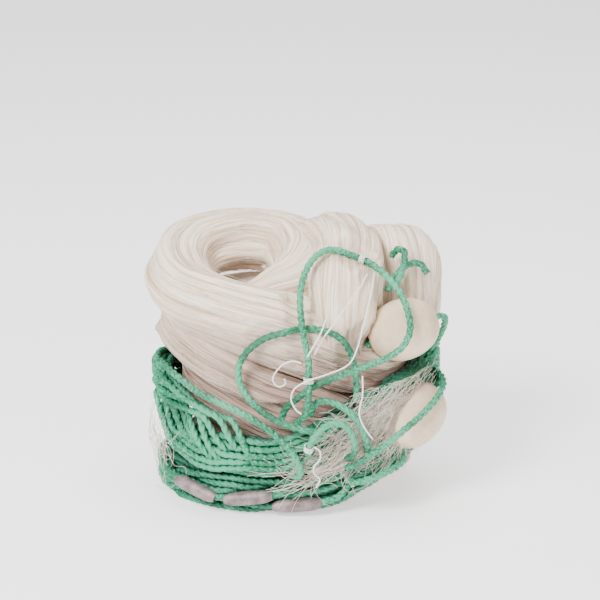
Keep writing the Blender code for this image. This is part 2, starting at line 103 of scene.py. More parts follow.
# The rope lies in a nest round the netting: the lead line below the division, the float line above it.
# Angles run from +X through +Y, in degrees, so the front is at 270. The nest lifts off the floor on the
# right.
NEST_COLUMNS = ("angle", "outer_x", "outer_y", "bottom", "division", "top")
NEST = [
    (0, 130, 96, 76, 105, 136), (30, 128, 96, 54, 85, 120), (60, 128, 96, 20, 56, 96),
    (90, 128, 96, 0, 36, 84), (120, 128, 96, 0, 34, 90), (150, 130, 96, 0, 34, 116),
    (180, 132, 96, 0, 36, 128), (200, 132, 96, 0, 36, 122), (225, 131, 97, 0, 35, 109),
    (250, 130, 97, 0, 34, 93), (270, 130, 97, 0, 36, 94), (285, 130, 97, 6, 42, 106),
    (300, 130, 97, 17, 53, 114), (315, 130, 97, 34, 67, 116), (335, 130, 97, 56, 86, 122),
]
NEST_HALF_WIDTH = 130.0
NEST_HALF_DEPTH = 96.0
NEST_FACE_HEIGHT = 95.0
NEST_MM_PER_DEGREE = 1.95
NEST_THICKNESS = 22.0
LEAD_INSET = 4.0
NEST_SMOOTHING = 19
NEST_MARGIN = 4.0
NEST_OVERHANG = 3.0
NEST_CLEARANCE = 2.0
DIVISION_GAP = 1.0

# How far the netting keeps from a piece that lies on it, how wide its groove eases, and how it is pressed.
ROPE_GAP, ROPE_EASE = 0.8, 5.0
TWINE_GAP, TWINE_EASE = 0.6, 3.0
FLOAT_GAP = 1.5
GROOVE_SLOPE = 0.8
PRESS_REACH = 30.0

# Routes of rope and twine: points chosen along each run, read through a smooth curve.
ROPE_ROUTES = {
    "loop_tall": [
        (0, -86, 86), (4, -97, 93), (8, -103, 102), (10, -101, 114), (10, -97, 128), (10, -91, 145),
        (7, -84, 160), (4, -77, 176), (3, -64, 197), (8, -50, 214), (17, -39, 224), (30, -32, 228),
        (48, -32, 223), (64, -36, 217), (78, -47, 209), (90, -62, 198), (97, -77, 183), (98, -85, 170),
        (92, -87, 157), (80, -86, 147), (66, -85, 140), (48, -87, 134), (30, -90, 128), (14, -91, 121),
        (0, -88, 109), (-10, -84, 98), (-14, -82, 86),
    ],
    "loop_wide": [
        (52, -82, 104), (52, -75, 120), (50, -74, 135), (46, -80, 150), (39, -84, 162), (27, -83, 169),
        (14, -75, 169), (3, -69, 167), (-11, -77, 166), (-27, -76, 161), (-41, -73, 150), (-50, -74, 137),
        (-51, -77, 123), (-45, -80, 110), (-33, -88, 99), (-15, -99, 91), (2, -102, 86), (14, -98, 82),
        (23, -88, 80),
    ],
    "crossing_strand": [
        (-118, -18, 116), (-121, -32, 124), (-110, -53, 121), (-88, -72, 110), (-64, -85, 102),
        (-42, -94, 94), (-22, -101, 82), (-8, -106, 70), (0, -107, 58), (3, -105, 47), (0, -99, 40),
        (-8, -88, 40),
    ],
    "short_bight": [
        (12, -84, 92), (15, -90, 104), (24, -99, 111), (40, -102, 106), (53, -100, 92), (60, -97, 75),
        (62, -93, 64), (62, -82, 60),
    ],
    "small_arc": [
        (10, -90, 58), (10, -101, 62), (11, -106, 72), (16, -108, 82), (26, -107, 91), (37, -106, 93),
        (46, -105, 85), (50, -104, 73), (49, -101, 61), (43, -92, 56), (38, -84, 56),
    ],
    "float_line_upper": [
        (61, -54.5, 146), (70, -52.8, 150.5), (80, -51.5, 155), (94, -50, 160), (108, -48.5, 165),
        (121, -46, 170), (130, -39, 168), (131, -30, 158), (127, -24, 145), (120, -20, 132),
    ],
    "float_line_side": [
        (58, -66, 62), (68, -68, 56), (82, -60, 60), (93, -55, 70), (104, -50, 80), (115, -46, 91),
        (123, -40, 101), (127, -30, 107), (122, -22, 108),
    ],
    "strand_over_float": [
        (40, -86, 46), (48, -100, 50), (62, -99, 58), (80, -92, 69), (96, -87, 81), (110, -82, 92),
        (123, -69, 102), (130, -52, 109), (128, -37, 113), (120, -24, 114),
    ],
    "strand_under_float": [
        (44, -84, 31), (52, -97, 34), (66, -97, 38), (82, -90, 42), (92, -80, 45), (95, -70, 46),
        (91, -61, 46),
    ],
    "lead_line_front": [
        (-112, -30, 22), (-116, -48, 27), (-106, -66, 26), (-90, -80, 21), (-70, -90, 17), (-50, -93, 17),
        (-28, -95, 20), (-10, -94, 23), (0, -84, 22),
    ],
    "lead_line_low": [
        (-56, -76, 9), (-42, -86, 9), (-24, -92, 9.5), (-2, -93, 10.5), (20, -93, 13), (36, -90, 17),
        (46, -80, 24),
    ],
    "rope_end_long": [
        (80, -28, 188), (85, -24, 197), (92, -19, 205), (102, -15, 210), (110, -14, 209), (116, -16, 201),
    ],
    "rope_end_short": [
        (84, -12, 216), (89, -15, 223), (95, -18, 222), (95, -23, 213), (92, -28, 204), (87, -33, 195),
    ],
    "float_line_back": [
        (40, 68, 70), (46, 80, 76), (34, 84, 84), (10, 86, 92), (-18, 83, 100), (-32, 77, 98), (-34, 66, 90),
    ],
    "lead_line_back": [
        (58, 66, 22), (48, 84, 16), (26, 93, 13), (0, 96, 12), (-28, 93, 13), (-52, 88, 14), (-72, 78, 16),
        (-80, 62, 18),
    ],
}
TWINE_ROUTES = {
    "twine_long": [
        (68, -42, 210), (65, -60, 197), (58, -84, 177), (52, -92, 156), (44, -94, 142), (26, -98, 135),
        (9, -104, 131), (-2, -104, 124), (-5, -104, 114), (-1, -107, 106), (4, -110, 103),
    ],
    "twine_tight": [
        (62, -43, 209), (55, -64, 203), (46, -76, 194), (34, -87, 180), (23, -91, 166), (15, -96, 152),
    ],
    "twine_spur": [(9, -98, 151), (17, -96, 165), (22, -92, 174), (25, -90, 183)],
    "twine_curl": [
        (4, -94, 144), (-4, -92, 145), (-12, -89, 141), (-19, -86, 132), (-21, -84, 124), (-16, -85, 119),
        (-10, -86, 122), (-11, -87, 127),
    ],
    "twine_side": [(57, -90, 131), (57, -98, 116), (54, -107, 103), (58, -106, 90), (66, -103, 77)],
    "twine_foot": [
        (15, -112, 73), (20, -112, 69), (20, -111, 61), (15, -110.5, 54), (15, -109, 47), (20, -108, 41),
        (17, -107, 33),
    ],
}
# Each float and sinker is threaded on a rope, centred at this share of the rope's length.
FLOATS = {
    "float_upper": ("float_line_upper", 0.30),
    "float_side": ("float_line_side", 0.53),
    "float_back": ("float_line_back", 0.5),
}
SINKERS = {
    "sinker_left": ("lead_line_front", 0.385),
    "sinker_middle": ("lead_line_front", 0.70),
    "sinker_low": ("lead_line_low", 0.53),
    "sinker_back_right": ("lead_line_back", 0.34),
    "sinker_back_left": ("lead_line_back", 0.66),
}
# A tie goes round its rope at this share of the rope's length.
TIES = {
    "tie_middle": ("loop_tall", 0.118),
    "tie_top": ("loop_tall", 0.477),
    "tie_foot": ("small_arc", 0.17),
}

# The wound turns of each line: how many, and where the first of them drop across the front: angle and width.
LEAD_TURNS = 15
FLOAT_TURNS = 20
DROPS = [(220, 20), (197, 34), (236, 13), (205, 30), (190, 38), (228, 16), (212, 26), (242, 11)]
# Steps round the nest, as angle and width: where the dropping turns rise on the left and climb on the right,
# and from where to where the other turns keep low.
RISE_STEP = (110, 50)
CLIMB_STEP = (300, 50)
LOW_FROM_STEP = (188, 22)
LOW_UNTIL_STEP = (255, 30)
# How the turns shift there, as shares of the nest's section.
DROP_SQUEEZE = 0.75
DROP_RISE = 0.33
DROP_FALL = 0.36
DROP_OUTWARD = 0.7
DROP_SUNK = 0.4
OTHERS_LOWERED = 0.6
TURN_STATIONS = 220
TURN_SPACING = 6.5
TURN_PASSES = 70
TURN_WANDER = 0.2
TURN_PUSH = 0.35

# The netting's folds, as waves round its section, and the fine filament on its surface.
FOLD_WAVES = (7, 9, 12, 14, 17, 21, 26, 31)
FOLD_DEPTH = 0.55
FILAMENTS_PER_METRE = 620
FILAMENT_LENGTH = 130.0
FILAMENT_POINTS = 20
FILAMENT_RADIUS = 0.2
FILAMENT_LIFT = 0.7

# Loose netting over the ropes. A wad is left and right angle in degrees, low and high share of the nest's
# height, its lean in degrees, how many filaments it has, the longest of them in millimetres and how far they
# curl, in radians. A mesh patch has the first four of these.
WAD_POINTS = 16
WAD_SHORTEST = 0.41
WAD_LEAN_SPREAD = 24.0
WAD_RISE = 100.0
WADS = [
    (288, 318, 0.50, 0.95, 35, 130, 110, 0.9),
    (274, 292, 0.30, 0.60, 20, 50, 110, 0.9),
    (182, 214, 0.28, 0.58, -12, 20, 62, 2.6),
    (305, 335, 0.25, 0.70, 55, 60, 110, 0.9),
]
MESH_CELL = 9.0
MESH_PATCHES = [(274, 294, 0.28, 0.60), (294, 322, 0.45, 0.95), (189, 203, 0.30, 0.54)]
MESH_POINTS_PER_KNOT = 4
MESH_KNOT_SWELL = 1.3

# Soft studio light: name, place in metres, size and power.
WORLD_STRENGTH = 0.62
FLOOR_GLOW = 0.9
LIGHTS = [
    ("key", (-1.3, -1.6, 1.9), 1.1, 125.0),
    ("fill", (1.8, -1.5, 1.1), 1.6, 20.0),
    ("top", (0.1, 0.5, 2.2), 1.6, 46.0),
]


def make_camera():
    """The camera on the front side, raised by its height angle and looking at the bundle's middle."""
    angle = math.radians(CAMERA_ELEVATION)
    target = Vector(CAMERA_TARGET)
    data = bpy.data.cameras.new("camera")
    data.lens = CAMERA_LENS
    data.sensor_width = 36.0
    data.clip_end = 20.0
    camera = bpy.data.objects.new("camera", data)
    camera.location = (target + CAMERA_DISTANCE * Vector((0, -math.cos(angle), math.sin(angle)))) * MM
    camera.rotation_euler = (math.radians(90) - angle, 0, 0)
    bpy.context.scene.collection.objects.link(camera)
    bpy.context.scene.camera = camera


def unit(vectors):
    """Each vector divided by its length."""
    return vectors / np.maximum(np.linalg.norm(vectors, axis=-1, keepdims=True), 1e-9)


def smooth_route(rows, step):
    """Points about step apart on a Catmull-Rom curve through the rows, all columns alike."""
    rows = np.array(rows, float)
    ends = np.vstack([2 * rows[0] - rows[1], rows, 2 * rows[-1] - rows[-2]])
    t = np.linspace(0, 1, 24, endpoint=False)[:, None]
    spans = [
        0.5 * (2 * b + (c - a) * t + (2 * a - 5 * b + 4 * c - d) * t**2 + (3 * b - a - 3 * c + d) * t**3)
        for a, b, c, d in zip(ends, ends[1:], ends[2:], ends[3:])
    ]
    fine = np.vstack([*spans, rows[-1:]])
    along = distance_along(fine[:, :3])
    count = max(2, round(along[-1] / step) + 1)
    at = np.linspace(0, along[-1], count)
    return np.stack([np.interp(at, along, column) for column in fine.T], axis=1)


def distance_along(points):
    """The distance from the first point to each point: the running sum of the steps between them."""
    return np.concatenate([[0], np.cumsum(np.linalg.norm(np.diff(points, axis=0), axis=1))])


def point_on(route, share):
    """The place at that share of the route's length, and the direction it runs there."""
    fine = smooth_route(route, 1.0)
    i = round(share * (len(fine) - 1))
    return fine[i], unit(fine[i + 3] - fine[i - 3])


def section_axes(points):
    """Two directions across the path at each point, made from the world axis it runs least along."""
    tangents = unit(np.gradient(points, axis=0))
    axis = np.eye(3)[np.abs(tangents).max(axis=0).argmin()]
    side = unit(np.cross(axis, tangents))
    return side, np.cross(tangents, side)


def tube_mesh(name, places, around, along, material):
    """A mesh of closed tubes: places[tube, ring, side, xyz].

    Its UV map is from around[ring, side + 1] in turns and along[ring] in metres. Each ring joins the next by
    quads, and a many-sided face closes each end.
    """
    tubes, rings, sides = places.shape[:3]
    index = np.arange(tubes * rings * sides).reshape(tubes, rings, sides)
    after = np.roll(index, -1, axis=2)
    quads = np.stack([index[:, :-1], after[:, :-1], after[:, 1:], index[:, 1:]], axis=-1).reshape(-1, 4)
    caps = np.concatenate([index[:, 0, ::-1], index[:, -1]])
    loops = np.concatenate([quads.ravel(), caps.ravel()])
    starts = np.concatenate([np.arange(len(quads)) * 4, len(quads) * 4 + np.arange(len(caps)) * sides])
    mesh = bpy.data.meshes.new(name)
    mesh.vertices.add(index.size)
    mesh.vertices.foreach_set("co", (places * MM).astype(np.float32).ravel())
    mesh.loops.add(len(loops))
    mesh.loops.foreach_set("vertex_index", loops.astype(np.int32))
    mesh.polygons.add(len(starts))
    mesh.polygons.foreach_set("loop_start", starts.astype(np.int32))
    mesh.polygons.foreach_set("use_smooth", np.ones(len(starts), bool))
    mesh.update(calc_edges=True)
    if around is not None:
        u = np.stack([around[:-1, :-1], around[:-1, 1:], around[1:, 1:], around[1:, :-1]], axis=-1)
        v = np.stack([along[:-1], along[:-1], along[1:], along[1:]], axis=-1)[:, None].repeat(sides, axis=1)
        uv = np.zeros((len(loops), 2), np.float32)
        quads_uv = np.stack([u, v], axis=-1)[None].repeat(tubes, axis=0)
        uv[: len(quads) * 4] = quads_uv.reshape(-1, 2)
        mesh.uv_layers.new(name="UVMap").data.foreach_set("uv", uv.ravel())
    mesh.materials.append(material)
    mesh.validate()
    obj = bpy.data.objects.new(name, mesh)
    bpy.context.scene.collection.objects.link(obj)
    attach(obj, "root")
    return obj


def twisted_cord(name, points, radius, lay, profile, material):
    """A laid cord: the strand profile at every ring, turned once in each lay of its length."""
    side, up = section_axes(points)
    along = distance_along(points)
    sides = len(profile)
    start = np.arange(sides) / sides
    turn = 2 * np.pi * (start[None] + along[:, None] / lay)
    reach = radius * np.array(profile)
    places = points[:, None] + reach[None, :, None] * (
        np.cos(turn)[..., None] * side[:, None] + np.sin(turn)[..., None] * up[:, None]
    )
    around = np.arange(sides + 1)[None] / sides + along[:, None] / lay
    return tube_mesh(name, places[None], around, along * MM, material)


def nest_at(angle):
    """The nest's columns at these angles, eased by a running mean so that no row makes a corner."""
    columns = dict(zip(NEST_COLUMNS, np.array(NEST, float).T))
    degrees = np.arange(360 + 2 * NEST_SMOOTHING) - NEST_SMOOTHING
    kernel = np.hanning(2 * NEST_SMOOTHING + 1)
    kernel /= kernel.sum()
    eased = {}
    for key in NEST_COLUMNS[1:]:
        fine = np.interp(degrees, columns["angle"], columns[key], period=360)
        fine = np.convolve(fine, kernel, "valid")
        eased[key] = np.interp(angle, np.radians(np.arange(360)), fine, period=2 * np.pi)
    return eased


def step_at(degrees, start, width):
    """0 before the start angle, 1 past its width, and 3v^2 - 2v^3 of the share v between them."""
    value = np.clip((degrees - start) / width, 0, 1)
    return value * value * (3 - 2 * value)


def turn_grid(turns, travel, draw):
    """Each turn's place in the nest's section: depth behind the outer face and height, both from -0.5 to 0.5.

    It starts on a short grid, drifts to the next turn's place as it goes round, and wanders by sine waves.
    """
    columns = 3
    slot = np.arange(turns + 1)
    order = draw.permutation(turns + 1)
    depth = np.interp(travel, slot, (order % columns + 0.5) / columns - 0.5)
    height = np.interp(travel, slot, (order // columns + 0.5) / math.ceil((turns + 1) / columns) - 0.5)
    for wave in range(2, 6):
        phase = draw.uniform(0, 2 * np.pi, 2)
        depth += TURN_WANDER * np.sin(wave * 2.6 * travel + phase[0]) / 2
        height += TURN_WANDER * np.sin(wave * 3.1 * travel + phase[1]) / 2
    return depth, height


def dropped_across(depth, height, turn, degrees, drops):
    """The same places, with the first turns, as many as there are drops, falling across the front.

    They run high on the left, drop at their own angle close to the outer face, sink behind the others once
    they are low, and climb again on the right. The other turns keep low at the front left, under them.
    """
    dropping = turn < len(drops)
    at, wide = np.array([*drops, (0.0, 1.0)])[np.minimum(turn, len(drops))].T
    fallen = step_at(degrees, at, wide)
    raised = step_at(degrees, *RISE_STEP) * (1 - fallen)
    lowered = fallen * (1 - step_at(degrees, *CLIMB_STEP))
    dropped = height * (1 - DROP_SQUEEZE * (raised + lowered)) + DROP_RISE * raised - DROP_FALL * lowered
    sunk = depth - DROP_OUTWARD * (raised + lowered) * (depth + 0.5) + lowered**4 * (DROP_SUNK - depth)
    front_left = step_at(degrees, *LOW_FROM_STEP) * (1 - step_at(degrees, *LOW_UNTIL_STEP))
    others = height - OTHERS_LOWERED * front_left * (height + 0.5) if drops else height
    return np.where(dropping, sunk, depth), np.where(dropping, dropped, others)


def push_from_turns(depth, height, turns):
    """How far each point moves, as depth and height, away from the turns beside it that are too near."""
    grid = np.stack([depth, height], axis=1).reshape(turns, TURN_STATIONS, 2)
    gap = grid[:, None] - grid[None]
    apart = np.linalg.norm(gap, axis=-1, keepdims=True) + 1e-6
    push = (gap / apart * np.clip(TURN_SPACING - apart, 0, None)).sum(axis=1) * TURN_PUSH
    return push.reshape(-1, 2)


def with_push_from_pieces(push, points, across, fixed):
    """The push on each point, and with it what moves the point out of the reach of every fixed piece."""
    push = push.copy()
    for piece, reach in fixed:
        near = within(points, piece, reach)
        if not near.any():
            continue
        offset = points[near][:, None] - piece[None]
        far = np.linalg.norm(offset, axis=2)
        nearest = far.argmin(axis=1)
        rows = np.arange(len(nearest))
        away = unit(offset[rows, nearest]) * np.clip(reach - far[rows, nearest], 0, None)[:, None]
        push[near, 0] -= (away[:, :2] * across[near]).sum(axis=1)
        push[near, 1] += away[:, 2]
    return push


def within(points, piece, reach):
    """Which points lie in the box round a piece's points, grown by reach on every side."""
    return (points > piece.min(axis=0) - reach).all(axis=1) & (points < piece.max(axis=0) + reach).all(axis=1)


def eased_from(moved, first):
    """The move since the first places, averaged a quarter, a half and a quarter over three neighbours."""
    eased = moved.copy()
    eased[1:-1] = first[1:-1] + np.convolve(moved - first, (0.25, 0.5, 0.25), "same")[1:-1]
    return eased


def wound_turns(turns, lower, upper, inset, fixed, drops, seed):
    """The centre line of one line's turns in the nest, between its lower and upper column.

    Points nearer to another turn, or to a fixed piece, than they should be push apart, and what that moved is
    eased along each turn.
    """
    travel = np.arange(turns * TURN_STATIONS) / TURN_STATIONS
    angle = 2 * np.pi * (travel % 1)
    nest = nest_at(angle)
    low = nest[lower] + (DIVISION_GAP if lower == "division" else 0) + ROPE_RADIUS
    high = nest[upper] - (DIVISION_GAP if upper == "division" else 0) - ROPE_RADIUS
    depth, height = turn_grid(turns, travel, np.random.default_rng(seed))
    depth, height = dropped_across(depth, height, travel.astype(int), np.degrees(angle), drops)
    room = NEST_THICKNESS - 2 * ROPE_RADIUS
    first_depth = depth = (depth + 0.5) * room
    first_height = height = low + (height + 0.5) * (high - low)
    across = np.stack([np.cos(angle), np.sin(angle)], axis=1)
    outer = across * np.stack([nest["outer_x"], nest["outer_y"]], axis=1) - across * (inset + ROPE_RADIUS)
    for _ in range(TURN_PASSES):
        points = np.column_stack([outer - across * depth[:, None], height])
        push = with_push_from_pieces(push_from_turns(depth, height, turns), points, across, fixed)
        depth = np.clip(eased_from(depth + push[:, 0], first_depth), 0, room)
        height = np.clip(eased_from(height + push[:, 1], first_height), low, high)
    return smooth_route(np.column_stack([outer - across * depth[:, None], height])[::2], ROPE_STEP)


def threaded_axes():
    """The middle line of every float and sinker, with its radius."""
    for table, length, diameter in (
        (FLOATS, FLOAT_LENGTH - FLOAT_DIAMETER, FLOAT_DIAMETER),
        (SINKERS, SINKER_LENGTH - SINKER_DIAMETER, SINKER_DIAMETER),
    ):
        for rope, share in table.values():
            place, direction = point_on(ROPE_ROUTES[rope], share)
            yield place + np.linspace(-0.5, 0.5, 9)[:, None] * length * direction, diameter / 2


def clearances():
    """Every piece the netting must clear: its route, its radius with the gap, and its groove's easing."""
    for route in ROPE_ROUTES.values():
        yield smooth_route(route, ROPE_STEP), ROPE_RADIUS + ROPE_GAP, ROPE_EASE
    for route in TWINE_ROUTES.values():
        yield smooth_route(route, ROPE_STEP), TWINE_RADIUS + TWINE_GAP, TWINE_EASE
    for rope, share in FLOATS.values():
        place, direction = point_on(ROPE_ROUTES[rope], share)
        reach = direction * (FLOAT_LENGTH - FLOAT_DIAMETER) / 2
        yield np.array([place - reach, place, place + reach]), FLOAT_DIAMETER / 2 + FLOAT_GAP, 0.0


def pressed_in(places, normals):
    """The netting's surface pushed inwards until the nest, each rope, twine and float clears it.

    Inside the nest a point keeps to the nest's inner oval, which widens with height above the nest's top.
    Near a cord, a point keeps below the cord's underside, measured along its own normal.
    """
    angle = np.arctan2(places[:, 1] / NEST_HALF_DEPTH, places[:, 0] / NEST_HALF_WIDTH)
    nest = nest_at(angle)
    above = np.maximum(places[:, 2] - nest["top"], nest["bottom"] - places[:, 2])
    room = np.maximum(0, above - NEST_MARGIN) * NEST_OVERHANG - NEST_THICKNESS - LEAD_INSET - NEST_CLEARANCE
    across = np.hypot(places[:, 0], places[:, 1])
    limit = np.hypot(np.cos(angle) * (nest["outer_x"] + room), np.sin(angle) * (nest["outer_y"] + room))
    places[:, :2] *= np.minimum(1, limit / np.maximum(across, 1))[:, None]
    for middles, radius, ease in clearances():
        reach = radius + PRESS_REACH
        box = within(places, middles, reach)
        offset = places[box][:, None] - middles[None]
        nearest = np.linalg.norm(offset, axis=2).argmin(axis=1)
        offset = offset[np.arange(len(nearest)), nearest]
        height = (offset * normals[box]).sum(axis=1)
        aside = np.linalg.norm(offset - height[:, None] * normals[box], axis=1)
        if ease:
            free = np.maximum(0, aside - radius - ease) * GROOVE_SLOPE - radius
        else:
            free = np.where(aside < radius, -np.sqrt(np.maximum(0, radius**2 - aside**2)), 1e3)
        near = np.linalg.norm(offset, axis=1) < reach
        places[box] -= np.where(near, np.clip(height - free, 0, PRESS_REACH), 0)[:, None] * normals[box]
    places[:, 2] = np.maximum(places[:, 2], 0)
    return places


def skein_frame(rows, step):
    """The skein's middle line, radius and two carried cross directions at every ring."""
    path = smooth_route(rows, step)
    middles, radii = path[:, :3], path[:, 3]
    side, up = section_axes(middles)
    return middles, radii, side, up


def skein_surface(rows, sides, seed):
    """A skein's surface: places[ring, side], outward directions, and the distance along.

    Its radius is the run's radius, times slow lobes that turn along it, plus folds: waves round the section
    whose phase and strength wander along the run, so that they meet and part like gathered netting.
    """
    draw = np.random.default_rng(seed)
    middles, radii, side, up = skein_frame(rows, SKEIN_STEP)
    along = distance_along(middles)[:, None]
    turn = 2 * np.pi * np.arange(sides)[None] / sides
    outward = np.cos(turn)[..., None] * side[:, None] + np.sin(turn)[..., None] * up[:, None]
    twist = SKEIN_TWIST * 2 * np.pi * along / along[-1]
    reach = radii[:, None] * (0.985 + SKEIN_LOBE_DEPTH * np.cos(SKEIN_LOBES * turn + twist))
    for folds in FOLD_WAVES:
        phase, drift, swell = draw.uniform(0, 2 * np.pi, 3)
        wander = 1.6 * np.sin(along / 47 + drift) + 1.1 * np.sin(along / 23 + swell)
        strength = 0.55 + 0.45 * np.sin(along / 61 + swell + folds)
        reach = reach + FOLD_DEPTH * (10 / folds) ** 0.5 * strength * np.sin(folds * turn + phase + wander)
    return middles[:, None] + reach[..., None] * outward, outward, along[:, 0]


def make_netting(material):
    """The netting's surface: every run of the skein as a closed tube, pressed in under what lies on it."""
    for seed, (name, rows) in enumerate(SKEIN_RUNS.items()):
        places, outward, along = skein_surface(rows, SKEIN_SIDES, seed)
        shape = places.shape
        places = pressed_in(places.reshape(-1, 3).copy(), outward.reshape(-1, 3)).reshape(shape)
        around = np.arange(shape[1] + 1)[None].repeat(shape[0], axis=0) / shape[1]
        tube_mesh("netting_" + name, places[None], around, along * MM, material)
    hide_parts("netting")


def make_filaments(material):
    """Fine filament along the skein: short runs of its surface, each lifted a little and drifting round.

    A filament's place is read between the four nearest points of the surface, by ring and by column.
    """
    for seed, (name, rows) in enumerate(SKEIN_RUNS.items()):
        if name == "skein_core":
            continue
        draw = np.random.default_rng(100 + seed)
        places, outward, along = skein_surface(rows, SKEIN_SIDES, seed)
        rings, sides = places.shape[:2]
        flat = pressed_in(places.reshape(-1, 3).copy(), outward.reshape(-1, 3)).reshape(places.shape)
        count = int(FILAMENTS_PER_METRE * along[-1] * MM)
        steps = np.arange(FILAMENT_POINTS)
        start = draw.uniform(0, along[-1] - FILAMENT_LENGTH, count)[:, None]
        ring = (start + steps[None] * FILAMENT_LENGTH / (FILAMENT_POINTS - 1)) / SKEIN_STEP
        drift = draw.normal(0, 1.3, count)[:, None] * (steps[None] / FILAMENT_POINTS - 0.5)
        swing = draw.uniform(0.1, 0.7, (count, 1))
        wave = swing * np.sin(steps[None] * 0.9 + draw.uniform(0, 6.3, (count, 1)))
        column = draw.uniform(0, sides, count)[:, None] + drift + wave
        ring = np.clip(ring, 0, rings - 1.001)
        r0 = ring.astype(int)
        c0 = np.floor(column).astype(int)
        fr = (ring - r0)[..., None]
        fc = (column - c0)[..., None]
        lifted = flat + outward * 0.15
        near = lifted[r0, c0 % sides] * (1 - fc) + lifted[r0, (c0 + 1) % sides] * fc
        far = lifted[r0 + 1, c0 % sides] * (1 - fc) + lifted[r0 + 1, (c0 + 1) % sides] * fc
        lift = np.abs(draw.normal(0, FILAMENT_LIFT, (count, 1)))
        arch = lift * np.sin(np.pi * steps[None] / (FILAMENT_POINTS - 1))
        lines = near * (1 - fr) + far * fr + outward[r0, c0 % sides] * arch[..., None]
        lines[..., 2] = np.maximum(lines[..., 2], FILAMENT_RADIUS)
        fine_tubes("filament_" + name, lines, FILAMENT_RADIUS, material)


def fine_tubes(name, lines, radius, material):
    """Three-sided tubes along lines[tube, point]. The radius is one number, or one for each tube's point."""
    tangents = unit(np.gradient(lines, axis=1))
    axis = np.array([0.31, 0.52, 0.79])
    side = unit(np.cross(axis, tangents))
    up = np.cross(tangents, side)
    turn = 2 * np.pi * np.arange(3) / 3
    ring = np.cos(turn)[:, None] * side[:, :, None] + np.sin(turn)[:, None] * up[:, :, None]
    radius = np.broadcast_to(np.asarray(radius, float), lines.shape[:2])[..., None, None]
    return tube_mesh(name, lines[:, :, None] + radius * ring, None, None, material)


def on_nest(degrees, height, proud):
    """Places on the nest's outer face: angle, height from 0, bottom, to 1, top, and distance off it."""
    angle = np.radians(degrees)
    nest = nest_at(angle)
    across = np.stack([np.cos(angle), np.sin(angle)], axis=-1)
    reach = np.stack([nest["outer_x"], nest["outer_y"]], axis=-1) + proud[..., None]
    level = nest["bottom"] + height * (nest["top"] - nest["bottom"])
    return np.concatenate([across * reach, level[..., None]], axis=-1)


def make_wads(material):
    """Wads of single filament that has slipped over the ropes, each one curving about its own heading."""
    t = np.linspace(0, 1, WAD_POINTS)[None]
    for k, (left, right, low, high, lean, count, longest, curl) in enumerate(WADS):
        draw = np.random.default_rng(300 + k)
        one = (count, 1)
        slope = np.radians(draw.normal(lean, WAD_LEAN_SPREAD, one))
        length = draw.uniform(WAD_SHORTEST * longest, longest, one)
        bend = draw.normal(0, curl, one)
        heading = slope + bend * (t - 0.5)
        wave = draw.uniform(0.5, 3.0, one) * np.sin(draw.uniform(5, 13, one) * t + draw.uniform(0, 6.3, one))
        middle = draw.normal((left + right) / 2, (right - left) / 4, one)
        degrees = middle + (length * (t - 0.5) * np.cos(heading) + wave) / NEST_MM_PER_DEGREE
        height = draw.normal((low + high) / 2, (high - low) / 4, one)
        height = height + (length * (t - 0.5) * np.sin(heading) + wave) / WAD_RISE
        proud = draw.uniform(-1.5, 3.0, one) + 1.6 * np.sin(9 * t + draw.uniform(0, 6.3, one))
        lines = on_nest(degrees, np.clip(height, 0.02, 1.03), proud)
        lines[..., 2] = np.maximum(lines[..., 2], 2 * FILAMENT_RADIUS)
        fine_tubes(f"loose_filament_{k}", lines, FILAMENT_RADIUS, material)


def make_mesh_patches(material):
    """Patches of open mesh over the ropes: two families of slanting, waving lines that cross in knots."""
    for k, (left, right, low, high) in enumerate(MESH_PATCHES):
        phase = np.random.default_rng(330 + k).uniform(0, 6.3, 6)
        wide = (right - left) * NEST_MM_PER_DEGREE
        tall = (high - low) * NEST_FACE_HEIGHT
        shift = np.arange(math.ceil((wide + tall) / MESH_CELL))[:, None] * MESH_CELL
        points = 2 * math.ceil(tall / MESH_CELL) * MESH_POINTS_PER_KNOT + 1
        rise = np.linspace(0, tall, points)[None]
        knot = 1 + MESH_KNOT_SWELL * (np.arange(points) % MESH_POINTS_PER_KNOT == 0)
        for way, family in ((1, "rising"), (-1, "falling")):
            x = shift - tall / 2 + way * (rise - tall / 2)
            sway = 3.5 * np.sin(x / 17 + phase[1]) * np.sin(rise / 13 + phase[2])
            x = x + 2.4 * np.sin(rise / 9 + phase[0]) + sway
            y = rise + 3.0 * np.sin(x / 11 + phase[3]) + 2.0 * np.sin(x / 6 + rise / 15 + phase[4])
            proud = 1.2 + 1.8 * np.sin(x / 8 + phase[5]) + 0.8 * np.sin(y / 5)
            lines = on_nest(left + x / NEST_MM_PER_DEGREE, low + y / NEST_FACE_HEIGHT, proud)
            fine_tubes(f"loose_mesh_{family}_{k}", lines, FILAMENT_RADIUS * 0.9 * knot, material)


def turned_body(name, place, direction, profile, sides, material, uneven=0.0, seed=0):
    """A body turned about its direction from a profile of (distance along, radius) rows."""
    profile = np.array(profile, float)
    axis = unit(np.array(direction, float))
    side = unit(np.cross(np.eye(3)[np.abs(axis).argmin()], axis))
    up = np.cross(axis, side)
    turn = 2 * np.pi * np.arange(sides) / sides
    spoke = np.cos(turn)[:, None] * side + np.sin(turn)[:, None] * up
    draw = np.random.default_rng(seed)
    phase = draw.uniform(0, 2 * np.pi, 4)
    along = profile[:, :1]
    bumps = np.sin(2 * turn + phase[0] + along * 0.11) + 0.6 * np.sin(3 * turn + phase[1] - along * 0.2)
    bumps = bumps + 0.5 * np.sin(5 * turn + phase[2] + along * 0.37)
    radius = profile[:, 1:] * (1 + uneven * bumps)
    places = np.array(place) + along[..., None] * axis + radius[..., None] * spoke
    around = np.arange(sides + 1)[None].repeat(len(profile), axis=0) / sides
    return tube_mesh(name, places[None], around, distance_along(profile) * MM, material)


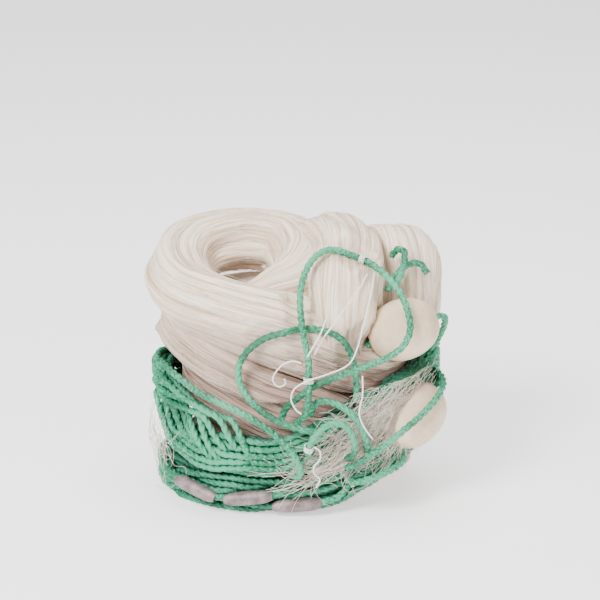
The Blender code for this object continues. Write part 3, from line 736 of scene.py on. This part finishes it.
def float_profile():
    """A float's section: an egg-round oval with a small dished mouth at each end of its bore."""
    angle = np.linspace(0.2, np.pi - 0.2, 46)
    along = -FLOAT_LENGTH / 2 * np.cos(angle) / math.cos(0.2)
    radius = FLOAT_DIAMETER / 2 * np.sin(angle) ** 0.92
    mouth = [(-FLOAT_LENGTH / 2 + 4, 3.2), (-FLOAT_LENGTH / 2 + 1.2, 3.4), (-FLOAT_LENGTH / 2 + 0.1, 4.2)]
    other = [(-x, r) for x, r in reversed(mouth)]
    return [*mouth, *zip(along, radius), *other]


def sinker_profile():
    """A sinker's section: a barrel with rounded shoulders and flat ends."""
    angle = np.linspace(-1, 1, 36)
    half = SINKER_LENGTH / 2
    barrel = [(half * a, SINKER_DIAMETER / 2 * (1 - 0.42 * abs(a) ** 5 - 0.06 * a * a)) for a in angle]
    return [(-half + 1.5, 3.3), (-half + 0.2, 3.4), *barrel, (half - 0.2, 3.4), (half - 1.5, 3.3)]


def make_tie(name, rope, share, material):
    """Twine wrapped round its rope, with a small round knot on the front."""
    place, direction = point_on(ROPE_ROUTES[rope], share)
    side = unit(np.cross(direction, (0.0, 1.0, 0.3)))
    up = np.cross(direction, side)
    t = np.linspace(0, 1, 90)[:, None]
    turn = 2 * np.pi * TIE_TURNS * t
    reach = ROPE_RADIUS + TWINE_RADIUS * (0.9 + 0.25 * np.sin(7 * t))
    coil = place + direction * (t - 0.5) * TIE_WIDTH + reach * (np.cos(turn) * side + np.sin(turn) * up)
    wraps = twisted_cord(name + "_wraps", coil, TWINE_RADIUS * 0.85, TWINE_LAY, TWINE_PROFILE, material)
    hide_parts(name)
    front = unit(np.array(TIE_FRONT) - direction * (direction @ np.array(TIE_FRONT)))
    t = np.linspace(0, 2 * np.pi * 1.35, 60)[:, None]
    loop = np.cos(t * 2) * direction * 1.3 + np.sin(t * 3) * front * 0.8
    loop = loop + np.cos(t) * np.cross(direction, front) * 1.5
    knot = place + front * (ROPE_RADIUS + 1.9) + loop
    twisted_cord(name + "_knot", knot, TWINE_RADIUS * 0.85, TWINE_LAY, TWINE_PROFILE, material)


class Recipe:
    """A material's node tree, with one call for each kind of node."""

    def __init__(self, name, roughness, metallic=0.0):
        """A new material with one shader, of this roughness and metallic share."""
        self.material = bpy.data.materials.new(name)
        self.material.use_nodes = True
        self.tree = self.material.node_tree
        self.shader = self.tree.nodes["Principled BSDF"]
        self.shader.inputs["Roughness"].default_value = roughness
        self.shader.inputs["Metallic"].default_value = metallic

    def node(self, kind, links=(), **values):
        """A node of this kind, its settings and unlinked inputs given by name, fed by its links."""
        made = self.tree.nodes.new(kind)
        for key, value in values.items():
            if hasattr(made, key):
                setattr(made, key, value)
            else:
                made.inputs[key.replace("_", " ")].default_value = value
        for socket, source in dict(links).items():
            self.tree.links.new(source, made.inputs[socket])
        return made

    def coordinates(self, source, scale=(1, 1, 1)):
        """Texture coordinates from this source, multiplied by the scale."""
        start = self.node("ShaderNodeTexCoord").outputs[source]
        return self.node("ShaderNodeMapping", {"Vector": start}, Scale=scale).outputs["Vector"]

    def noise(self, vector, scale, detail=3.0, roughness=0.5):
        """Cloudy noise at these coordinates."""
        settings = {"Scale": scale, "Detail": detail, "Roughness": roughness}
        return self.node("ShaderNodeTexNoise", {"Vector": vector}, **settings).outputs["Fac"]

    def ramp(self, factor, stops):
        """The colour that the factor picks between the stops, each a place and a colour."""
        made = self.node("ShaderNodeValToRGB", {"Fac": factor})
        elements = made.color_ramp.elements
        while len(elements) < len(stops):
            elements.new(0.5)
        for element, (place, colour) in zip(elements, stops):
            element.position = place
            element.color = (*colour, 1.0)
        return made.outputs["Color"]

    def mixed(self, factor, first, second):
        """The first colour where the factor is 0, the second where it is 1."""
        made = self.node("ShaderNodeMix", data_type="RGBA")
        for socket, source in ((0, factor), (6, first), (7, second)):
            self.tree.links.new(source, made.inputs[socket])
        return made.outputs[2]

    def bump(self, height, strength, distance, under=None):
        """A surface direction roughened by this height, over another bump where one is given."""
        links = {"Height": height}
        if under:
            links["Normal"] = under
        return self.node("ShaderNodeBump", links, Strength=strength, Distance=distance).outputs["Normal"]

    def done(self, colour, normal=None, roughness=None):
        """The material, with its shader fed by what is given."""
        self.tree.links.new(colour, self.shader.inputs["Base Color"])
        if normal:
            self.tree.links.new(normal, self.shader.inputs["Normal"])
        if roughness:
            self.tree.links.new(roughness, self.shader.inputs["Roughness"])
        return self.material


def netting_material():
    """Gathered filament: fine lines that run along the skein, in off-white, darker and pinker low down as
    painted shade, where the ropes shade it.
    """
    recipe = Recipe("netting", 0.5)
    recipe.shader.inputs["Subsurface Weight"].default_value = 0.25
    recipe.shader.inputs["Subsurface Radius"].default_value = (0.010, 0.007, 0.005)
    recipe.shader.inputs["Subsurface Scale"].default_value = 0.6
    fine = recipe.noise(recipe.coordinates("UV", (260, 18, 1)), 1.0, 2.0)
    broad = recipe.noise(recipe.coordinates("UV", (46, 7, 1)), 1.0, 3.0)
    both = recipe.node("ShaderNodeMath", {0: fine, 1: broad}, operation="ADD").outputs[0]
    # Painted light and shade: lit colours for the upper netting, and darker shaded copies that take over from
    # 185 mm down to 112 mm.
    pale = (0.50, 0.33, 0.22), (0.83, 0.63, 0.46), (0.96, 0.82, 0.66)
    shaded = (0.16, 0.085, 0.062), (0.33, 0.20, 0.150), (0.52, 0.35, 0.28)
    lit = recipe.ramp(both, list(zip((0.72, 0.95, 1.25), pale)))
    low = recipe.ramp(both, list(zip((0.72, 0.95, 1.25), shaded)))
    height = recipe.node("ShaderNodeSeparateXYZ", {"Vector": recipe.coordinates("Object")}).outputs["Z"]
    shade = recipe.node("ShaderNodeMapRange", {"Value": height}, From_Min=0.112, From_Max=0.185)
    colour = recipe.mixed(shade.outputs["Result"], low, lit)
    normal = recipe.bump(fine, 0.7, 0.0012)
    return recipe.done(colour, recipe.bump(broad, 0.6, 0.003, normal))


def filament_material():
    """Single filament: glossy off-white, slightly uneven in tone."""
    recipe = Recipe("netting_filament", 0.35)
    tone = recipe.noise(recipe.coordinates("Object"), 140.0, 2.0)
    return recipe.done(recipe.ramp(tone, [(0.3, (0.72, 0.58, 0.47)), (0.7, (0.93, 0.84, 0.74))]))


def rope_material(name, wound):
    """Green twisted polypropylene: three strands of fine fibres, in a slightly patchy green.

    Wound rope darkens behind the nest's outer face: painted shade, where the turns shade one another.
    """
    recipe = Recipe(name, 0.42)
    around = recipe.node("ShaderNodeSeparateXYZ", {"Vector": recipe.coordinates("UV")}).outputs
    turns = recipe.node("ShaderNodeMath", {0: around["X"]}, operation="MULTIPLY")
    turns.inputs[1].default_value = 2 * math.pi * ROPE_YARNS
    yarn = recipe.node("ShaderNodeMath", {0: turns.outputs[0]}, operation="SINE").outputs[0]
    fibre = recipe.noise(recipe.coordinates("UV", (9, 420, 1)), 1.0, 3.0, 0.6)
    patch = recipe.noise(recipe.coordinates("Object"), 22.0, 2.0)
    both = recipe.node("ShaderNodeMath", {0: fibre, 1: patch}, operation="ADD").outputs[0]
    greens = (0.004, 0.10, 0.045), (0.014, 0.23, 0.112), (0.065, 0.40, 0.22)
    colour = recipe.ramp(both, list(zip((0.70, 1.0, 1.3), greens)))
    if wound:
        # Painted shade: darker greens for wound rope that lies behind the nest's outer face.
        painted_shade_greens = recipe.ramp(both, [(0.70, (0.002, 0.030, 0.017)), (1.3, (0.010, 0.10, 0.060))])
        oval = (1 / (NEST_HALF_WIDTH * MM), 1 / (NEST_HALF_DEPTH * MM), 0)
        flat = recipe.coordinates("Object", oval)
        outward = recipe.node("ShaderNodeVectorMath", {0: flat}, operation="LENGTH").outputs["Value"]
        near = recipe.node("ShaderNodeMapRange", {"Value": outward}, From_Min=0.86, From_Max=0.98)
        colour = recipe.mixed(near.outputs["Result"], painted_shade_greens, colour)
    normal = recipe.bump(yarn, 0.35, 0.0003)
    return recipe.done(colour, recipe.bump(fibre, 0.5, 0.0004, normal))


def twine_material():
    """White twine: fine fibres along its lay."""
    recipe = Recipe("twine", 0.6)
    fibre = recipe.noise(recipe.coordinates("UV", (6, 900, 1)), 1.0, 3.0)
    colour = recipe.ramp(fibre, [(0.3, (0.88, 0.84, 0.79)), (0.6, (0.98, 0.97, 0.95))])
    return recipe.done(colour, recipe.bump(fibre, 0.5, 0.0003))


def float_material():
    """Cream closed-cell foam: a fine open grain, with faint broad stains."""
    recipe = Recipe("float", 0.55)
    recipe.shader.inputs["Subsurface Weight"].default_value = 0.1
    recipe.shader.inputs["Subsurface Scale"].default_value = 0.004
    where = recipe.coordinates("Object")
    grain = recipe.noise(where, 1600.0, 2.0)
    stain = recipe.noise(where, 38.0, 4.0, 0.6)
    creams = (0.62, 0.44, 0.29), (0.78, 0.60, 0.42), (0.88, 0.73, 0.55)
    colour = recipe.ramp(stain, list(zip((0.3, 0.55, 0.8), creams)))
    return recipe.done(colour, recipe.bump(grain, 0.35, 0.0003))


def sinker_material():
    """Dull cast lead: grey with a faint pink, cloudy, pitted and rubbed brighter in places."""
    recipe = Recipe("sinker", 0.55, 0.55)
    where = recipe.coordinates("Object")
    cloud = recipe.noise(where, 90.0, 4.0, 0.6)
    pits = recipe.noise(where, 700.0, 3.0)
    greys = (0.13, 0.10, 0.10), (0.25, 0.19, 0.19), (0.42, 0.34, 0.33)
    colour = recipe.ramp(cloud, list(zip((0.3, 0.5, 0.72), greys)))
    rough = recipe.node("ShaderNodeMapRange", {"Value": cloud}, To_Min=0.42, To_Max=0.72).outputs["Result"]
    normal = recipe.bump(pits, 0.4, 0.0005)
    return recipe.done(colour, recipe.bump(cloud, 0.3, 0.0012, normal), rough)


def make_stage():
    """A pale floor with a faint glow, and soft light: a wide key at the left, a fill and a top light."""
    bpy.ops.mesh.primitive_plane_add(size=12.0)
    floor = bpy.context.active_object
    floor.name = "floor"
    recipe = Recipe("floor", 0.7)
    tone = recipe.noise(recipe.coordinates("Object"), 0.7, 1.0)
    recipe.shader.inputs["Emission Color"].default_value = (1.0, 1.0, 1.0, 1.0)
    recipe.shader.inputs["Emission Strength"].default_value = FLOOR_GLOW
    pale = recipe.ramp(tone, [(0.3, (0.88, 0.88, 0.88)), (0.7, (0.91, 0.91, 0.91))])
    floor.data.materials.append(recipe.done(pale))
    world = bpy.data.worlds.new("soft_room")
    world.use_nodes = True
    world.node_tree.nodes["Background"].inputs["Color"].default_value = (1.0, 1.0, 1.0, 1.0)
    world.node_tree.nodes["Background"].inputs["Strength"].default_value = WORLD_STRENGTH
    bpy.context.scene.world = world
    for name, place, size, power in LIGHTS:
        data = bpy.data.lights.new(name, "AREA")
        data.shape = "DISK"
        data.size = size
        data.energy = power
        light = bpy.data.objects.new(name, data)
        light.location = place
        light.rotation_euler = (Vector((0, 0, 0.1)) - Vector(place)).to_track_quat("-Z", "Y").to_euler()
        bpy.context.scene.collection.objects.link(light)


def make_ropes(material, wound):
    """The loose runs of rope, then the wound turns of both lines laid clear of them."""
    fixed = []
    cords = {}
    for name, route in ROPE_ROUTES.items():
        points = smooth_route(route, ROPE_STEP / 2)
        fixed.append((points[::2], TURN_SPACING))
        cord = twisted_cord("rope_" + name, points, ROPE_RADIUS, ROPE_LAY, STRAND_PROFILE, material)
        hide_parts(name)
        cords[name] = (cord, points)
    fixed += [(axis, radius + ROPE_RADIUS + 0.3) for axis, radius in threaded_axes()]
    for name, turns, lower, upper, inset, drops, seed in (
        ("lead_line_hank", LEAD_TURNS, "bottom", "division", LEAD_INSET, [], 3),
        ("float_line_hank", FLOAT_TURNS, "division", "top", 0.0, DROPS, 5),
    ):
        points = wound_turns(turns, lower, upper, inset, fixed, drops, seed)
        cord = twisted_cord("rope_" + name, points, ROPE_RADIUS, ROPE_LAY, STRAND_PROFILE, wound)
        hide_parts(name)
        print(name, round(distance_along(points)[-1]), "mm of rope")
    return cords


def make_twines(material):
    """The free ends of twine, and the ties."""
    for name, route in TWINE_ROUTES.items():
        points = smooth_route(route, TWINE_STEP)
        cord = twisted_cord("cord_" + name, points, TWINE_RADIUS, TWINE_LAY, TWINE_PROFILE, material)
        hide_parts(name)
    for name, (rope, share) in TIES.items():
        make_tie(name, rope, share, material)


def make_threaded(cords, looks):
    """The floats and sinkers on their ropes, gathered in a list for each rope."""
    carried = {name: [] for name in cords}
    for table, profile, sides, uneven, look in (
        (FLOATS, float_profile(), 56, 0.004, "float"),
        (SINKERS, sinker_profile(), 28, 0.018, "sinker"),
    ):
        for seed, (name, (rope, share)) in enumerate(table.items()):
            place, direction = point_on(ROPE_ROUTES[rope], share)
            body = turned_body("body_" + name, place, direction, profile, sides, looks[look], uneven, seed)
            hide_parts(name)
            carried[rope].append(body)


make_camera()
looks = {"float": float_material(), "sinker": sinker_material()}
cords = make_ropes(rope_material("rope", wound=False), rope_material("rope_wound_shaded", wound=True))
make_threaded(cords, looks)
make_twines(twine_material())
make_netting(netting_material())
filament = filament_material()
make_filaments(filament)
make_wads(filament)
make_mesh_patches(filament)
make_stage()
